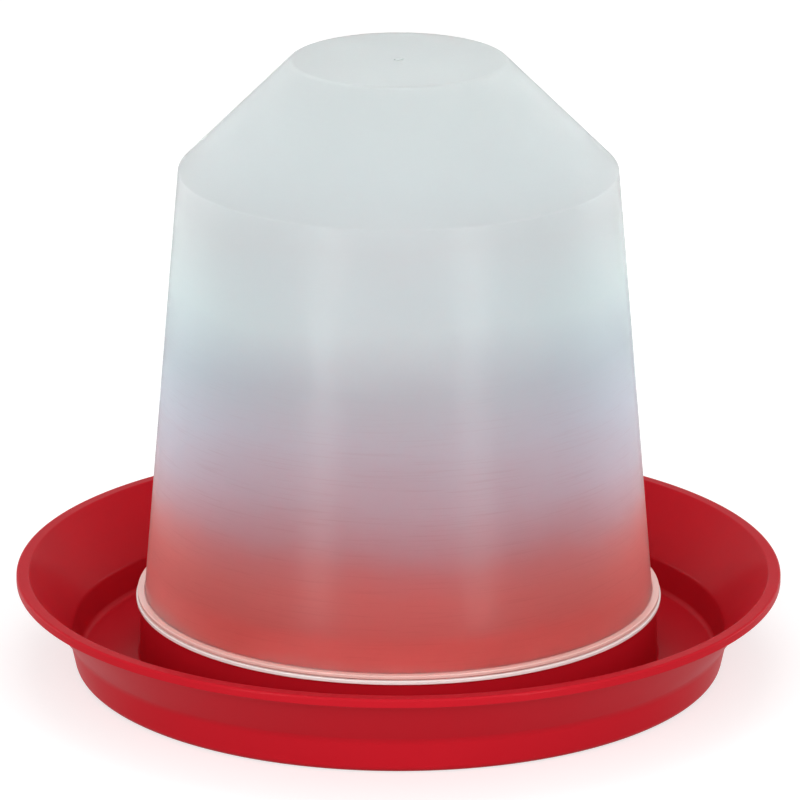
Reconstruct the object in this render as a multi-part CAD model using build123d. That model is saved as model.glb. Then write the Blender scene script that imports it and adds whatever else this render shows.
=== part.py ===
"""Poultry ground feeder: a frosted plastic drum of feed that stands in a red moulded dish.

Millimetres, +Z up. The origin is the centre of the foot, on the ground, and -Y is the front.
Both pieces are round, so each is a profile of (radius, height) points turned about Z.
Angles of walls are in degrees from the vertical, positive where the wall leans out.
"""
from build123d import *
from math import cos, radians, sin, sqrt, tan
import os

# Dish: trough, foot and lip
RIM_RADIUS = 150.0  # outside of the lip
DISH_HEIGHT = 38.2  # ground to the top of the lip
DISH_WALL = 1.8
FLOOR_TOP = 3.2  # ground to the floor of the trough
FOOT_RADIUS = 126.9  # outside of the wall, carried down to the ground
FOOT_ROUND = 3.6
FOOT_RING_WIDTH = 9.0
WALL_DRAFT = 12.0
BEND_HEIGHT = 14.0  # where the wall turns out into the flare
FLARE_DRAFT = 36.0
OUTER_BEND_ROUND = 9.0
INNER_BEND_ROUND = 5.0
FLOOR_CORNER_ROUND = 2.5
LIP_HEIGHT = 3.6
LIP_ROUND = 1.0
LIP_UNDERSIDE_ROUND = 0.5

# Seat ring in the dish, which carries the drum
SEAT_HEIGHT = 26.4  # ground to the ledge that the drum stands on
SEAT_MARGIN = 1.5  # how far the ledge runs out past the drum's wall
SEAT_DRAFT = -1.1
SEAT_FOOT_ROUND = 1.0
COLLAR_HEIGHT = 15.3  # ledge to the top of the collar inside the drum
COLLAR_CLEARANCE = 0.5
COLLAR_ROUND = 0.6

# Feed cone and feed windows in the dish
CONE_ANGLE = 26.0  # slope from the horizontal
CONE_TIP_ROUND = 12.0
CONE_MARGIN = 14.0  # floor between the cone and the seat wall
WINDOW_COUNT = 6
WINDOW_WIDTH = 44.0
WINDOW_HEIGHT = 9.0
WINDOW_SIDE_HEIGHT = 5.0
WINDOW_ROUND = 1.5

# Drum
DRUM_FOOT_RADIUS = 100.0  # outside of the wall, at the ledge
DRUM_WALL = 1.5
DRUM_DRAFT = -4.92
SHOULDER_HEIGHT = 200.4  # ground to the shoulder
SHOULDER_ROUND = 1.2
ROOF_DRAFT = -45.0
TOP_RADIUS = 41.6
TOP_ROUND = 3.0
FLANGE_REACH = 3.1  # how far the foot flange stands out of the wall
FLANGE_HEIGHT = 3.5
FLANGE_STEP = 0.5  # the upper bead is smaller by this
FLANGE_ROUND = 0.4
GROOVE_HEIGHT = 1.9  # ledge to the lower edge of the groove in the flange
GROOVE_WIDTH = 0.6
GROOVE_DEPTH = 0.6
GATE_RADIUS = 1.8  # sprue mark in the middle of the top
GATE_HEIGHT = 0.4


def along(point, draft, height):
    """The point at this height on a wall that passes through the given point."""
    return (point[0] + (height - point[1]) * tan(radians(draft)), height)


def inner_corner(point, draft_below, draft_above, wall):
    """The inner corner of a wall that bends at the given outer point."""
    below = (-cos(radians(draft_below)), sin(radians(draft_below)))
    above = (-cos(radians(draft_above)), sin(radians(draft_above)))
    reach = wall / (1 + below[0] * above[0] + below[1] * above[1])
    return (point[0] + reach * (below[0] + above[0]), point[1] + reach * (below[1] + above[1]))


def turned(edges, rounds):
    """Turns a closed profile about Z, after rounding its corners: rounds holds (point, radius) pairs."""
    section = make_face(edges)
    for point, radius in rounds:
        corner = section.vertices().sort_by_distance(Vector(*point))[0]
        section = fillet(corner, radius)
    return revolve(Plane.XZ * section, Axis.Z)


def drum_inside(height):
    """Inner radius of the drum's wall at this height."""
    foot = (DRUM_FOOT_RADIUS - DRUM_WALL / cos(radians(DRUM_DRAFT)), SEAT_HEIGHT)
    return along(foot, DRUM_DRAFT, height)[0]


def collar_outside(height):
    """Outer radius of the collar, which follows the drum's wall from inside."""
    return drum_inside(height) - COLLAR_CLEARANCE


def seat_outside(height):
    """Outer radius of the seat wall at this height."""
    ledge = (DRUM_FOOT_RADIUS + SEAT_MARGIN, SEAT_HEIGHT)
    return along(ledge, SEAT_DRAFT, height)[0]


def make_drum():
    """The drum: an open-bottomed bell with a beaded foot flange, a sloping roof and a flat top."""
    flange_top = SEAT_HEIGHT + FLANGE_HEIGHT
    flange_radius = DRUM_FOOT_RADIUS + FLANGE_REACH
    bead_radius = flange_radius - FLANGE_STEP
    groove_radius = bead_radius - GROOVE_DEPTH
    groove_bottom = SEAT_HEIGHT + GROOVE_HEIGHT
    groove_top = groove_bottom + GROOVE_WIDTH

    foot = (DRUM_FOOT_RADIUS, SEAT_HEIGHT)
    wall_foot = along(foot, DRUM_DRAFT, flange_top)
    shoulder = along(foot, DRUM_DRAFT, SHOULDER_HEIGHT)
    roof_rise = (TOP_RADIUS - shoulder[0]) / tan(radians(ROOF_DRAFT))
    top = (TOP_RADIUS, SHOULDER_HEIGHT + roof_rise)
    shoulder_inside = inner_corner(shoulder, DRUM_DRAFT, ROOF_DRAFT, DRUM_WALL)
    top_inside = inner_corner(top, ROOF_DRAFT, -90, DRUM_WALL)

    lower_bead = [(flange_radius, SEAT_HEIGHT), (flange_radius, groove_bottom)]
    groove = [(groove_radius, groove_bottom), (groove_radius, groove_top)]
    upper_bead = [(bead_radius, groove_top), (bead_radius, flange_top)]
    gate = [(GATE_RADIUS, top[1]), (GATE_RADIUS, top[1] + GATE_HEIGHT), (0, top[1] + GATE_HEIGHT)]
    outside = lower_bead + groove + upper_bead + [wall_foot, shoulder, top] + gate
    inside = [(0, top_inside[1]), top_inside, shoulder_inside, (drum_inside(SEAT_HEIGHT), SEAT_HEIGHT)]
    rounds = [
        (lower_bead[0], FLANGE_ROUND),
        (lower_bead[1], FLANGE_ROUND),
        (upper_bead[1], FLANGE_ROUND),
        (wall_foot, FLANGE_ROUND),
        (shoulder, SHOULDER_ROUND),
        (top, TOP_ROUND),
        (top_inside, TOP_ROUND - DRUM_WALL),
    ]
    return turned(Polyline(*outside, *inside, close=True), rounds)


def make_dish():
    """The dish: a flared trough on a foot ring, with a stepped seat ring and a feed cone in the middle."""
    floor_bottom = FLOOR_TOP - DISH_WALL
    lip_bottom = DISH_HEIGHT - LIP_HEIGHT
    collar_top = SEAT_HEIGHT + COLLAR_HEIGHT
    ledge_bottom = SEAT_HEIGHT - DISH_WALL

    # Trough wall, from the ground up: straight wall, flare and lip
    ground = (FOOT_RADIUS, 0)
    bend = along(ground, WALL_DRAFT, BEND_HEIGHT)
    flare_end = along(bend, FLARE_DRAFT, lip_bottom)
    bend_inside = inner_corner(bend, WALL_DRAFT, FLARE_DRAFT, DISH_WALL)
    floor_edge = along(bend_inside, WALL_DRAFT, FLOOR_TOP)
    lip_inside = along(bend_inside, FLARE_DRAFT, DISH_HEIGHT)
    lip_top = (RIM_RADIUS, DISH_HEIGHT)
    lip_foot = (RIM_RADIUS, lip_bottom)

    # Seat ring: wall, ledge and collar
    seat_foot = (seat_outside(FLOOR_TOP), FLOOR_TOP)
    seat_foot_inside = (seat_outside(FLOOR_TOP) - DISH_WALL, FLOOR_TOP)
    ledge = (seat_outside(SEAT_HEIGHT), SEAT_HEIGHT)
    ledge_inside = (seat_outside(ledge_bottom) - DISH_WALL, ledge_bottom)
    collar_foot = (collar_outside(SEAT_HEIGHT), SEAT_HEIGHT)
    collar_foot_inside = (collar_outside(ledge_bottom) - DISH_WALL, ledge_bottom)
    collar_end = (collar_outside(collar_top), collar_top)
    collar_end_inside = (collar_outside(collar_top) - DISH_WALL, collar_top)

    # Feed cone: a hollow cone with a round tip, above and below
    slope = radians(CONE_ANGLE)
    cone_radius = seat_foot_inside[0] - CONE_MARGIN
    under_round = CONE_TIP_ROUND - DISH_WALL
    tip_side = CONE_TIP_ROUND * sin(slope)
    tip_centre = FLOOR_TOP + (cone_radius - tip_side) * tan(slope) - CONE_TIP_ROUND * cos(slope)
    tip = (tip_side, tip_centre + CONE_TIP_ROUND * cos(slope))
    under_tip = (under_round * sin(slope), tip_centre + under_round * cos(slope))
    under_cone_radius = under_tip[0] + (under_tip[1] - floor_bottom) / tan(slope)

    above = [tip, (cone_radius, FLOOR_TOP), seat_foot_inside, ledge_inside, collar_foot_inside]
    above += [collar_end_inside, collar_end, collar_foot, ledge, seat_foot, floor_edge, bend_inside]
    above += [lip_inside, lip_top, lip_foot, flare_end, bend, ground]
    ring_inside = FOOT_RADIUS - FOOT_RING_WIDTH
    below = [(ring_inside, 0), (ring_inside, floor_bottom), (under_cone_radius, floor_bottom), under_tip]
    edges = [
        Polyline(*above, *below),
        CenterArc((0, tip_centre), under_round, 90 - CONE_ANGLE, CONE_ANGLE),
        Line((0, tip_centre + under_round), (0, tip_centre + CONE_TIP_ROUND)),
        CenterArc((0, tip_centre), CONE_TIP_ROUND, 90 - CONE_ANGLE, CONE_ANGLE),
    ]
    rounds = [
        (ground, FOOT_ROUND),
        (bend, OUTER_BEND_ROUND),
        (bend_inside, INNER_BEND_ROUND),
        (floor_edge, FLOOR_CORNER_ROUND),
        (lip_foot, LIP_UNDERSIDE_ROUND),
        (lip_top, LIP_ROUND),
        (lip_inside, LIP_ROUND),
        (seat_foot, SEAT_FOOT_ROUND),
        (seat_foot_inside, SEAT_FOOT_ROUND),
        (collar_end, COLLAR_ROUND),
        (collar_end_inside, COLLAR_ROUND),
    ]
    cutter = window_cutter()
    windows = [Rot(0, 0, number * 360 / WINDOW_COUNT) * cutter for number in range(WINDOW_COUNT)]
    return turned(edges, rounds) - windows


def window_cutter():
    """The space of one feed window: an arched opening through the front of the seat wall, down to the floor."""
    half = WINDOW_WIDTH / 2
    side_top = FLOOR_TOP + WINDOW_SIDE_HEIGHT
    crown = (0, FLOOR_TOP + WINDOW_HEIGHT)
    edges = [
        Polyline((half, side_top), (half, FLOOR_TOP), (-half, FLOOR_TOP), (-half, side_top)),
        ThreePointArc((-half, side_top), crown, (half, side_top)),
    ]
    arch = make_face(edges)
    for side in (-half, half):
        corner = arch.vertices().sort_by_distance(Vector(side, side_top))[0]
        arch = fillet(corner, WINDOW_ROUND)
    wall_inside = seat_outside(FLOOR_TOP) - DISH_WALL
    start = sqrt(wall_inside**2 - half**2) - 2 * SEAT_FOOT_ROUND
    end = seat_outside(FLOOR_TOP) + 2 * SEAT_FOOT_ROUND
    return extrude(Plane.XZ.offset(start) * arch, end - start)


hopper_drum = make_drum()
feeding_dish = make_dish()

os.makedirs("parts", exist_ok=True)
export_step(hopper_drum, "parts/hopper_drum.step")
export_step(feeding_dish, "parts/feeding_dish.step")
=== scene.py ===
from math import cos, pi, radians, sin, sqrt

import bmesh
import bpy
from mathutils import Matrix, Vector


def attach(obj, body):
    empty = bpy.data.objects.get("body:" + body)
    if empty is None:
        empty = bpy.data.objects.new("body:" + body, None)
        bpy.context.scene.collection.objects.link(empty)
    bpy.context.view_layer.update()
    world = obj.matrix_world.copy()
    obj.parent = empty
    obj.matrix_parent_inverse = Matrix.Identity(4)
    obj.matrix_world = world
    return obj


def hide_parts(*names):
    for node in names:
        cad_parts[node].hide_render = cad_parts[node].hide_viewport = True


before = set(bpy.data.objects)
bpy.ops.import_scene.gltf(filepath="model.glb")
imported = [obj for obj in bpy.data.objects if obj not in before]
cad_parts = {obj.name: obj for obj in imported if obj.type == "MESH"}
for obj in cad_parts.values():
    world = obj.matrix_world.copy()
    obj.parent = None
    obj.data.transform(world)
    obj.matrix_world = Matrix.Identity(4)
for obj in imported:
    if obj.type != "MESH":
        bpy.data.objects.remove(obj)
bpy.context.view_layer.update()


# The view: a long lens, 2.4 m in front of the feeder and 0.9 m up, looks down on it by 18 degrees.
# Its place was worked out from the circles of the lip, the flange, the shoulder and the top.
def put_in_scene(name, data):
    """Makes an object of this camera, lamp or mesh and adds it to the scene."""
    made = bpy.data.objects.new(name, data)
    bpy.context.scene.collection.objects.link(made)
    return made


lens = bpy.data.cameras.new("photo_lens")
lens.sensor_fit = "HORIZONTAL"
lens.sensor_width = 36.0
lens.lens = 292.5
lens.clip_start = 0.1
lens.clip_end = 50.0
camera = put_in_scene("photo_camera", lens)
camera.location = (0.0006, -2.41057, 0.8869)
camera.rotation_euler = (radians(90 - 17.937), 0, 0)
bpy.context.scene.camera = camera


# The feeding dish is one injection moulding in red polypropylene with a soft sheen.
# From the middle out it has a feed cone, a seat ring with a collar, a trough, a flare and a beaded lip.
# The seat ring has six low arched windows, through which the feed runs out of the drum into the trough.
def rounded_outline(corners, steps=6):
    """The outline of a moulding in metres, from corners of (radius, height, rounding) in millimetres."""
    outline = []
    for place, (radius, height, rounding) in enumerate(corners):
        corner = Vector((radius, height))
        if not rounding:
            outline.append(corner / 1000)
            continue
        back = (Vector(corners[place - 1][:2]) - corner).normalized()
        onward = (Vector(corners[place + 1][:2]) - corner).normalized()
        half = back.angle(onward) / 2
        middle = (back + onward).normalized()
        centre = corner + middle * (rounding / sin(half))
        turn = pi / 2 - half
        side = back - middle * back.dot(middle)
        side.normalize()
        for step in range(steps + 1):
            angle = turn * (1 - 2 * step / steps)
            point = centre + (side * sin(angle) - middle * cos(angle)) * rounding
            outline.append(point / 1000)
    return outline


def mesh_object(name, shape):
    """Turns a finished bmesh into an object in the scene."""
    mesh = bpy.data.meshes.new(name)
    shape.to_mesh(mesh)
    shape.free()
    return put_in_scene(name, mesh)


def turned_moulding(name, outline, sectors=288):
    """A closed solid: the outline, which starts and ends on the axis, turned about Z.

    Its upright edges are half a sector off the axes, so none falls on the crown of a window.
    """
    angles = [2 * pi * (sector + 0.5) / sectors for sector in range(sectors)]
    shell = bmesh.new()
    rings = []
    for radius, height in outline:
        if radius < 1e-7:
            rings.append([shell.verts.new((0, 0, height))] * sectors)
        else:
            rings.append([shell.verts.new((radius * cos(a), radius * sin(a), height)) for a in angles])
    for inner, outer in zip(rings, rings[1:]):
        for sector in range(sectors):
            following = (sector + 1) % sectors
            around = [inner[sector], inner[following], outer[following], outer[sector]]
            shell.faces.new(list(dict.fromkeys(around)))
    bmesh.ops.recalc_face_normals(shell, faces=shell.faces)
    return mesh_object(name, shell)


def finish_surface(moulding):
    """Smooth walls, crisp creases, and shading that follows the large faces, not the small roundings."""
    moulding.data.shade_smooth()
    moulding.data.set_sharp_from_angle(angle=radians(32))
    weighting = moulding.modifiers.new("true_walls", "WEIGHTED_NORMAL")
    weighting.mode = "FACE_AREA"
    weighting.weight = 100
    weighting.keep_sharp = True


def cone_tip(radius, angles):
    """The round tip of the feed cone, in corners at these degrees from its axis."""
    centre = 31.865
    return [(radius * sin(radians(a)), centre + radius * cos(radians(a)), 0) for a in angles]


tip_angles = (0, 5, 10, 15, 20, 26)
cone_and_seat_ring = [
    *cone_tip(12, tip_angles),
    (86.15, 3.2, 0),
    (100.15, 3.2, 1.0),
    (99.73, 24.6, 0),
    (96.35, 24.6, 0),
    (94.88, 41.7, 0.6),
    (96.68, 41.7, 0.6),
    (97.99, 26.4, 0),
    (101.5, 26.4, 0.12),
    (101.95, 3.2, 1.0),
]
trough_flare_and_lip = [
    (125.74, 3.2, 2.5),
    (128.19, 14.75, 5.0),
    (145.23, 38.2, 1.0),
    (150.0, 38.2, 1.0),
    (150.0, 34.6, 0.5),
]
outer_wall_and_underside = [
    (144.84, 34.6, 0),
    (129.88, 14.0, 9.0),
    (126.9, 0.0, 3.6),
    (117.9, 0.0, 0.3),
    (117.9, 1.4, 0),
    (85.73, 1.4, 0),
    *cone_tip(10.2, reversed(tip_angles)),
]
dish_corners = cone_and_seat_ring + trough_flare_and_lip + outer_wall_and_underside
dish = turned_moulding("red_feeding_dish", rounded_outline(dish_corners))


def window_block(blocks, bearing, steps=16):
    """Adds the space of one feed window: 44 mm wide, 5 mm high at its sides and 9 mm in the middle."""
    sill, spring, crown, half = 3.21, 8.2, 12.2, 22.0
    inside_wall, outside_wall = 95.7, 103.95
    arch_radius = (half**2 + (crown - spring) ** 2) / (2 * (crown - spring))
    across = [-half + 2 * half * step / steps for step in range(steps + 1)]
    arch = [(x, crown - arch_radius + sqrt(arch_radius**2 - x * x)) for x in across]
    opening = [(half, sill), *reversed(arch), (-half, sill)]
    ends = []
    for depth in (inside_wall, outside_wall):
        ends.append([])
        for x, z in opening:
            spot = Vector((x, -depth, z)) / 1000
            turned_x = spot.x * cos(bearing) - spot.y * sin(bearing)
            turned_y = spot.x * sin(bearing) + spot.y * cos(bearing)
            ends[-1].append(blocks.verts.new((turned_x, turned_y, spot.z)))
    blocks.faces.new(ends[0])
    blocks.faces.new(ends[1])
    for place in range(len(opening)):
        following = (place + 1) % len(opening)
        blocks.faces.new((ends[0][place], ends[0][following], ends[1][following], ends[1][place]))


blocks = bmesh.new()
for window in range(6):
    window_block(blocks, radians(60 * window))
bmesh.ops.recalc_face_normals(blocks, faces=blocks.faces)
window_spaces = mesh_object("window_spaces", blocks)
cut = dish.modifiers.new("feed_windows", "BOOLEAN")
cut.operation = "DIFFERENCE"
cut.solver = "EXACT"
cut.object = window_spaces
bpy.context.view_layer.update()
cut_dish = bpy.data.meshes.new_from_object(dish.evaluated_get(bpy.context.evaluated_depsgraph_get()))
dish.modifiers.clear()
dish.data = cut_dish
bpy.data.objects.remove(window_spaces)
finish_surface(dish)


def add_node(tree, kind, inputs, **settings):
    """Adds a node with its settings. Each input is a plain value, or the output that is wired to it."""
    node = tree.nodes.new(kind)
    for setting, value in settings.items():
        setattr(node, setting, value)
    for socket, value in inputs.items():
        if isinstance(value, bpy.types.NodeSocket):
            tree.links.new(value, node.inputs[socket])
        else:
            node.inputs[socket].default_value = value
    return node


def maths(tree, operation, first, second):
    """Works out one value from two, each a socket or a number."""
    return add_node(tree, "ShaderNodeMath", {0: first, 1: second}, operation=operation).outputs[0]


def graded(tree, value, low, high, at_low=0.0, at_high=1.0):
    """Runs from at_low to at_high while the value runs from low to high, and no further."""
    limits = {"From Min": low, "From Max": high, "To Min": at_low, "To Max": at_high}
    return add_node(tree, "ShaderNodeMapRange", {"Value": value, **limits}).outputs["Result"]


def moulded_grain():
    """Node group for moulded plastic.

    Its height adds fine grain, slow ripples and rings round the piece. Its masks are the blotches
    of the plastic's flow and the hairlines along the rings.
    """
    group = bpy.data.node_groups.new("moulded_grain", "ShaderNodeTree")
    usual_values = {
        "Grain Size": 900.0,
        "Ripple Size": 22.0,
        "Ripple Depth": 1.0,
        "Ring Depth": 0.0,
        "Flow Size": 14.0,
    }
    for socket, value in usual_values.items():
        entry = group.interface.new_socket(socket, in_out="INPUT", socket_type="NodeSocketFloat")
        entry.default_value = value
    for socket in ("Height", "Flow", "Hairlines"):
        group.interface.new_socket(socket, in_out="OUTPUT", socket_type="NodeSocketFloat")
    given = group.nodes.new("NodeGroupInput").outputs
    place = group.nodes.new("ShaderNodeTexCoord").outputs["Object"]

    def noise(where, size, detail, **more):
        inputs = {"Vector": where, "Scale": size, "Detail": detail, **more}
        return add_node(group, "ShaderNodeTexNoise", inputs).outputs["Fac"]

    grain = noise(place, given["Grain Size"], 3.0)
    ripple = noise(place, given["Ripple Size"], 1.0)
    flow = noise(place, given["Flow Size"], 4.0, Roughness=0.55)
    round_the_piece = (40.0, 40.0, 1600.0)
    squeezed = add_node(group, "ShaderNodeMapping", {"Vector": place, "Scale": round_the_piece})
    rings = noise(squeezed.outputs["Vector"], 1.0, 3.0)
    ripple_height = maths(group, "MULTIPLY", ripple, given["Ripple Depth"])
    grain_height = maths(group, "MULTIPLY", grain, 0.03)
    ring_height = maths(group, "MULTIPLY", rings, given["Ring Depth"])
    height = maths(group, "ADD", maths(group, "ADD", ripple_height, grain_height), ring_height)
    hairlines = graded(group, rings, 0.55, 0.70)
    add_node(group, "NodeGroupOutput", {"Height": height, "Flow": flow, "Hairlines": hairlines})
    return group


grain_group = moulded_grain()


def plastic(name, grain_values, pale, deep, smooth, rough, bump_height, sheen):
    """A moulded plastic: its colour runs between two shades and its roughness between two values."""
    material = bpy.data.materials.new(name)
    material.use_nodes = True
    tree = material.node_tree
    surface = tree.nodes["Principled BSDF"]
    grain = add_node(tree, "ShaderNodeGroup", grain_values, node_tree=grain_group, name="grain").outputs
    shades = {"Factor": grain["Flow"], "A": (*deep, 1), "B": (*pale, 1)}
    tone = add_node(tree, "ShaderNodeMix", shades, data_type="RGBA")
    relief = {"Strength": 1.0, "Distance": bump_height, "Height": grain["Height"]}
    bump = add_node(tree, "ShaderNodeBump", relief)
    tree.links.new(tone.outputs["Result"], surface.inputs["Base Color"])
    tree.links.new(graded(tree, grain["Flow"], 0.3, 0.7, smooth, rough), surface.inputs["Roughness"])
    tree.links.new(bump.outputs["Normal"], surface.inputs["Normal"])
    for socket, value in sheen.items():
        surface.inputs[socket].default_value = value
    return material


red = plastic(
    "red_polypropylene",
    {"Grain Size": 900.0, "Ripple Size": 24.0, "Ripple Depth": 1.0, "Flow Size": 16.0},
    pale=(0.51, 0.0096, 0.0190),
    deep=(0.46, 0.0082, 0.0163),
    smooth=0.34,
    rough=0.42,
    bump_height=0.0006,
    sheen={"IOR": 1.49, "Specular IOR Level": 0.02, "Coat Weight": 0.06, "Coat Roughness": 0.14},
)
dish.data.materials.clear()
dish.data.materials.append(red)
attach(dish, "root")
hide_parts("feeding_dish")


# The hopper drum is one moulding in unpigmented, frosted polypropylene, 1.5 mm thick and open below.
# Its beaded foot flange stands on the ledge of the seat ring, and the collar inside keeps it in place.
# The flat top has the small stub of the sprue in its middle.
sprue_stub = [
    (0, 244.22, 0),
    (1.8, 244.22, 0.15),
    (1.8, 243.82, 0),
]
roof_and_wall = [
    (41.6, 243.82, 3.0),
    (85.02, 200.4, 1.2),
    (99.70, 29.9, 0.4),
]
beaded_flange = [
    (102.6, 29.9, 0.4),
    (102.6, 28.5, 0.3),
    (102.0, 28.4, 0),
    (102.0, 28.0, 0),
    (103.1, 27.9, 0.3),
    (103.1, 26.42, 0.4),
]
inside_of_the_drum = [
    (98.49, 26.42, 0),
    (83.57, 199.73, 0),
    (40.98, 242.32, 1.5),
    (0, 242.32, 0),
]
drum_corners = sprue_stub + roof_and_wall + beaded_flange + inside_of_the_drum
drum = turned_moulding("frosted_hopper_drum", rounded_outline(drum_corners))
finish_surface(drum)


def height_on_piece(tree):
    """How high a spot of the piece is, in metres."""
    place = tree.nodes.new("ShaderNodeTexCoord").outputs["Object"]
    return add_node(tree, "ShaderNodeSeparateXYZ", {"Vector": place}).outputs["Z"]


def lay_colour(material, colour, share, blend_type):
    """Lays a colour over the base colour that the material has so far."""
    tree = material.node_tree
    base = tree.nodes["Principled BSDF"].inputs["Base Color"]
    inputs = {"Factor": share, "A": base.links[0].from_socket, "B": colour}
    laid = add_node(tree, "ShaderNodeMix", inputs, data_type="RGBA", blend_type=blend_type)
    tree.links.new(laid.outputs["Result"], base)


frosted = plastic(
    "frosted_polypropylene",
    {"Grain Size": 700.0, "Ripple Size": 18.0, "Ripple Depth": 0.6, "Ring Depth": 0.05, "Flow Size": 11.0},
    pale=(1.0, 1.0, 1.0),
    deep=(0.95, 0.95, 0.955),
    smooth=0.64,
    rough=0.74,
    bump_height=0.0006,
    sheen={"IOR": 1.38, "Transmission Weight": 0.9, "Coat Weight": 0.3, "Coat Roughness": 0.28},
)
# Painted light in the milky wall, by height in millimetres: a painted red glow of the dish low down, then
# painted lilac shade, the feeder's shadow on the floor behind seen through the wall, then the plastic's
# own pale tint up to the top. The plastic's flow moves the bands by 5 mm.
drum_foot, drum_top = 26, 244
painted_glow_and_shade_bands = {
    26: (1.0, 0.68, 0.64),
    33: (0.95, 0.42, 0.385),
    42: (0.86, 0.325, 0.295),
    58: (0.85, 0.33, 0.305),
    68: (0.79, 0.38, 0.385),
    78: (0.73, 0.55, 0.60),
    92: (0.725, 0.71, 0.78),
    115: (0.71, 0.775, 0.835),
    135: (0.675, 0.76, 0.79),
    160: (0.79, 0.875, 0.87),
    192: (0.775, 0.80, 0.80),
    214: (0.81, 0.85, 0.85),
    244: (0.83, 0.87, 0.865),
}
tree = frosted.node_tree
grain = tree.nodes["grain"].outputs
height = height_on_piece(tree)
swayed = maths(tree, "ADD", height, graded(tree, grain["Flow"], 0.3, 0.7, -0.005, 0.005))
climb = graded(tree, swayed, drum_foot / 1000, drum_top / 1000)
glow_and_shade_ramp = add_node(tree, "ShaderNodeValToRGB", {"Fac": climb})
stops = glow_and_shade_ramp.color_ramp.elements
while len(stops) < len(painted_glow_and_shade_bands):
    stops.new(0.5)
for stop, (band, colour) in zip(stops, painted_glow_and_shade_bands.items()):
    stop.position = (band - drum_foot) / (drum_top - drum_foot)
    stop.color = (*colour, 1)
# The painted glow and shade are multiplied into the wall's colour.
lay_colour(frosted, glow_and_shade_ramp.outputs["Color"], 1.0, "MULTIPLY")
# Fine hairlines run round the lower wall and fade out between 100 and 150 mm.
hairlines = maths(tree, "MULTIPLY", grain["Hairlines"], graded(tree, height, 0.150, 0.100))
lay_colour(frosted, (0.93, 0.89, 0.89, 1), hairlines, "MULTIPLY")
drum.data.materials.append(frosted)

# The bead is solid plastic with a clear gloss, in two lines. Its pink is a painted red glow from the dish.
bead = plastic(
    "frosted_bead",
    {"Grain Size": 700.0, "Ripple Size": 18.0, "Ripple Depth": 0.3, "Ring Depth": 0.0, "Flow Size": 30.0},
    pale=(0.88, 0.58, 0.53),
    deep=(0.85, 0.54, 0.48),
    smooth=0.36,
    rough=0.46,
    bump_height=0.0004,
    sheen={"IOR": 1.49, "Coat Weight": 0.4, "Coat Roughness": 0.1},
)
# The nearly white lower line is a painted highlight.
painted_highlight_line = graded(bead.node_tree, height_on_piece(bead.node_tree), 0.0283, 0.0279)
lay_colour(bead, (1, 0.98, 0.95, 1), painted_highlight_line, "MIX")
drum.data.materials.append(bead)
# The outer part of the flange is the bead, apart from the groove between its two lines.
bead_top, bead_inside = 0.0305, 0.1001
groove_foot, groove_top, groove_outside = 0.0280, 0.0284, 0.10205
for face in drum.data.polygons:
    middle = face.center
    across = middle.xy.length
    groove = groove_foot < middle.z < groove_top and across < groove_outside
    if middle.z < bead_top and across > bead_inside and not groove:
        face.material_index = 1
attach(drum, "root")
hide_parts("hopper_drum")


# The studio: a white floor that keeps a soft shadow, a white room, and soft lamps all round.
# Three large panels light the front and the sides, one hangs above, and two low ones stand behind.
# Two narrow strips beside the camera's line draw the soft upright streaks on the drum.
floor_height = -0.0002
floor_sheet = bmesh.new()
floor_corners = ((-6, -6), (6, -6), (6, 8), (-6, 8))
floor_sheet.faces.new([floor_sheet.verts.new((x, y, floor_height)) for x, y in floor_corners])
floor = mesh_object("studio_floor", floor_sheet)


def background_view(tree):
    """1 where the camera sees the floor or the room, also mirrored or through the drum, 0 elsewhere."""
    path = tree.nodes.new("ShaderNodeLightPath").outputs
    seen = maths(tree, "MAXIMUM", path["Is Camera Ray"], path["Is Transmission Ray"])
    return maths(tree, "MAXIMUM", seen, path["Is Glossy Ray"])


floor_paper = bpy.data.materials.new("white_paper")
floor_paper.use_nodes = True
tree = floor_paper.node_tree
paper = tree.nodes["Principled BSDF"].inputs
paper["Base Color"].default_value = (0.54, 0.54, 0.54, 1)
paper["Roughness"].default_value = 0.9
paper["Specular IOR Level"].default_value = 0.1
paper["Emission Color"].default_value = (1, 1, 1, 1)
tree.links.new(maths(tree, "MULTIPLY", background_view(tree), 0.60), paper["Emission Strength"])
floor.data.materials.append(floor_paper)

room = bpy.data.worlds.new("white_room")
room.use_nodes = True
bpy.context.scene.world = room
tree = room.node_tree
sky = tree.nodes["Background"].inputs
sky["Color"].default_value = (1, 1, 1, 1)
tree.links.new(graded(tree, background_view(tree), 0.0, 1.0, 0.5, 1.0), sky["Strength"])


def soft_lamp(name, place, aim, width, height, watts):
    """A flat soft lamp that points at a spot on the feeder."""
    light = bpy.data.lights.new(name, "AREA")
    light.shape = "RECTANGLE"
    light.size = width
    light.size_y = height
    light.energy = watts
    lamp = put_in_scene(name, light)
    lamp.location = place
    lamp.rotation_euler = (Vector(aim) - Vector(place)).to_track_quat("-Z", "Y").to_euler()
    return lamp


top_lamp = soft_lamp("top_lamp", (0.0, 0.5, 1.6), (0, 0, 0.1), 1.0, 1.0, 5.0)
front_lamp = soft_lamp("front_lamp", (0.0, -2.15, 0.85), (0, 0, 0.05), 1.9, 1.3, 24.0)
left_lamp = soft_lamp("left_lamp", (-1.6, -1.5, 0.65), (0, 0, 0.1), 1.2, 1.2, 13.0)
right_lamp = soft_lamp("right_lamp", (1.6, -1.5, 0.65), (0, 0, 0.1), 1.2, 1.2, 13.0)
for lamp in (top_lamp, front_lamp, left_lamp, right_lamp):
    lamp.visible_glossy = False
for name, side in (("back_left_lamp", -1), ("back_right_lamp", 1)):
    soft_lamp(name, (side * 1.35, 0.8, 0.22), (0, 0, 0.12), 0.9, 0.44, 4.2)
for name, side in (("left_strip", -1), ("right_strip", 1)):
    strip = soft_lamp(name, (side * 0.178, -0.29, 0.25), (0, 0, 0.25), 0.07, 0.5, 0.6)
    strip.visible_camera = False
    strip.visible_diffuse = False
    strip.visible_transmission = False

bpy.context.scene.view_settings.view_transform = "Standard"
